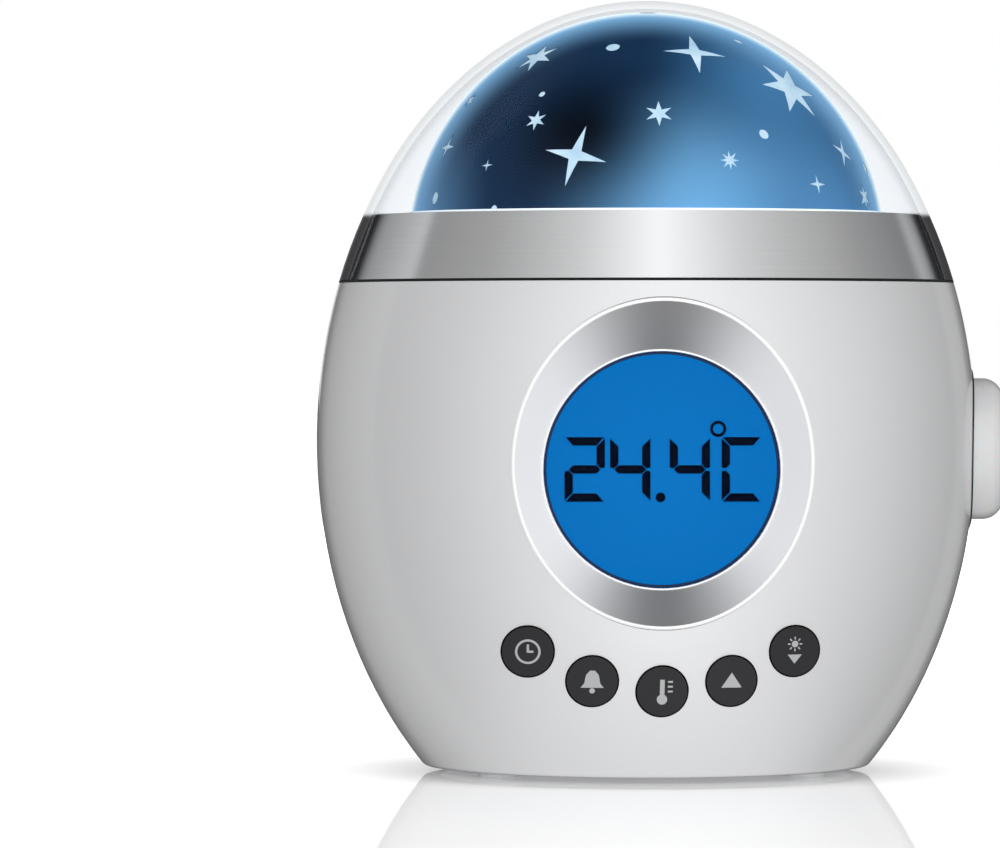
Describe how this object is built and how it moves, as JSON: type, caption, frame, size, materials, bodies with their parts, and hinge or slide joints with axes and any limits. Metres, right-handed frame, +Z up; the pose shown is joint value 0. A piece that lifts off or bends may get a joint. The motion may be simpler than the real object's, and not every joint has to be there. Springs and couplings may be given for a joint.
{
  "type": "star night light projector",
  "caption": "Egg-shaped night light and clock with a star-pattern lamp dome under a clear cover, a round backlit display, push buttons, a loudspeaker grille and a power inlet.",
  "frame": {"origin": "on the egg's upright axis, in the plane that the four feet stand on", "axes": "+Z up; the display faces -Y; the round light button is on the +X side; the loudspeaker faces +Y"},
  "size_m": [0.1303, 0.1219, 0.1459],
  "materials": {
    "housing_pearl": "pearl white, satin",
    "foot_rubber": "soft translucent",
    "cell_wrap": "printed foil, plain",
    "contact_nickel": "nickel plated",
    "clear_plastic": "clear, polished",
    "brushed_silver": "brushed silver film",
    "black_plastic": "matte",
    "navy_dome": "dark translucent blue",
    "board_green": "solder mask",
    "led_clear": "clear",
    "dish_silver": "metallised silver",
    "window_clear": "clear, polished",
    "lcd_blue": "backlit blue",
    "diffuser_white": "milky",
    "white_plastic": "satin",
    "switch_black": "matte",
    "button_grey": "satin grey",
    "key_charcoal": "satin",
    "speaker_steel": "zinc plated",
    "speaker_paper": "pressed paper",
    "screw_steel": "zinc plated"
  },
  "bodies": {
    "housing": {"front_shell": "housing_pearl", "rear_shell": "housing_pearl", "base_plate": "housing_pearl", "battery_door": "housing_pearl", "foot_pads": "foot_rubber", "battery_cells": "cell_wrap", "battery_contacts": "contact_nickel", "clear_cover": "clear_plastic", "trim_band": "brushed_silver", "lamp_deck": "black_plastic", "star_dome": "navy_dome", "lamp_board": "board_green", "lamp_leds": "led_clear", "display_bezel": "dish_silver", "display_window": "window_clear", "lcd_panel": "lcd_blue", "display_light_guide": "diffuser_white", "display_frame": "white_plastic", "front_board": "board_green", "front_switches": "switch_black", "controller_chip": "black_plastic", "temperature_sensor": "black_plastic", "rear_board": "board_green", "rear_switches": "switch_black", "light_board": "board_green", "light_switch": "switch_black", "speaker_basket": "speaker_steel", "speaker_cone": "speaker_paper", "speaker_clamp": "white_plastic", "speaker_screws": "screw_steel", "dc_jack": "black_plastic", "dc_jack_pin": "contact_nickel", "slide_switch": "switch_black", "case_screws": "screw_steel", "deck_screws": "screw_steel", "base_screws": "screw_steel", "board_screws": "screw_steel"},
    "button_clock": {"button_clock": "key_charcoal"},
    "button_alarm": {"button_alarm": "key_charcoal"},
    "button_thermometer": {"button_thermometer": "key_charcoal"},
    "button_up": {"button_up": "key_charcoal"},
    "button_down": {"button_down": "key_charcoal"},
    "button_timer": {"button_timer": "key_charcoal"},
    "button_volume": {"button_volume": "key_charcoal"},
    "button_tune": {"button_tune": "key_charcoal"},
    "button_heart": {"button_heart": "key_charcoal"},
    "button_light": {"button_light": "key_charcoal"},
    "light_button": {"light_button": "button_grey"},
    "slide_knob": {"slide_knob": "white_plastic"}
  },
  "joints": [
    {"name": "button_clock_press", "type": "slide", "parent": "housing", "child": "button_clock", "axis": [0, 1, 0], "range_m": [0, 0.0008], "stiffness_N_per_m": 400},
    {"name": "button_alarm_press", "type": "slide", "parent": "housing", "child": "button_alarm", "axis": [0, 1, 0], "range_m": [0, 0.0008], "stiffness_N_per_m": 400},
    {"name": "button_thermometer_press", "type": "slide", "parent": "housing", "child": "button_thermometer", "axis": [0, 1, 0], "range_m": [0, 0.0008], "stiffness_N_per_m": 400},
    {"name": "button_up_press", "type": "slide", "parent": "housing", "child": "button_up", "axis": [0, 1, 0], "range_m": [0, 0.0008], "stiffness_N_per_m": 400},
    {"name": "button_down_press", "type": "slide", "parent": "housing", "child": "button_down", "axis": [0, 1, 0], "range_m": [0, 0.0008], "stiffness_N_per_m": 400},
    {"name": "button_timer_press", "type": "slide", "parent": "housing", "child": "button_timer", "axis": [0, -1, 0], "range_m": [0, 0.0008], "stiffness_N_per_m": 400},
    {"name": "button_volume_press", "type": "slide", "parent": "housing", "child": "button_volume", "axis": [0, -1, 0], "range_m": [0, 0.0008], "stiffness_N_per_m": 400},
    {"name": "button_tune_press", "type": "slide", "parent": "housing", "child": "button_tune", "axis": [0, -1, 0], "range_m": [0, 0.0008], "stiffness_N_per_m": 400},
    {"name": "button_heart_press", "type": "slide", "parent": "housing", "child": "button_heart", "axis": [0, -1, 0], "range_m": [0, 0.0008], "stiffness_N_per_m": 400},
    {"name": "button_light_press", "type": "slide", "parent": "housing", "child": "button_light", "axis": [0, -1, 0], "range_m": [0, 0.0008], "stiffness_N_per_m": 400},
    {"name": "light_button_press", "type": "slide", "parent": "housing", "child": "light_button", "axis": [-1, 0, 0], "range_m": [0, 0.0012], "stiffness_N_per_m": 400},
    {"name": "slide_knob_move", "type": "slide", "parent": "housing", "child": "slide_knob", "axis": [1, 0, 0], "range_m": [-0.0024, 0.0024]}
  ]
}
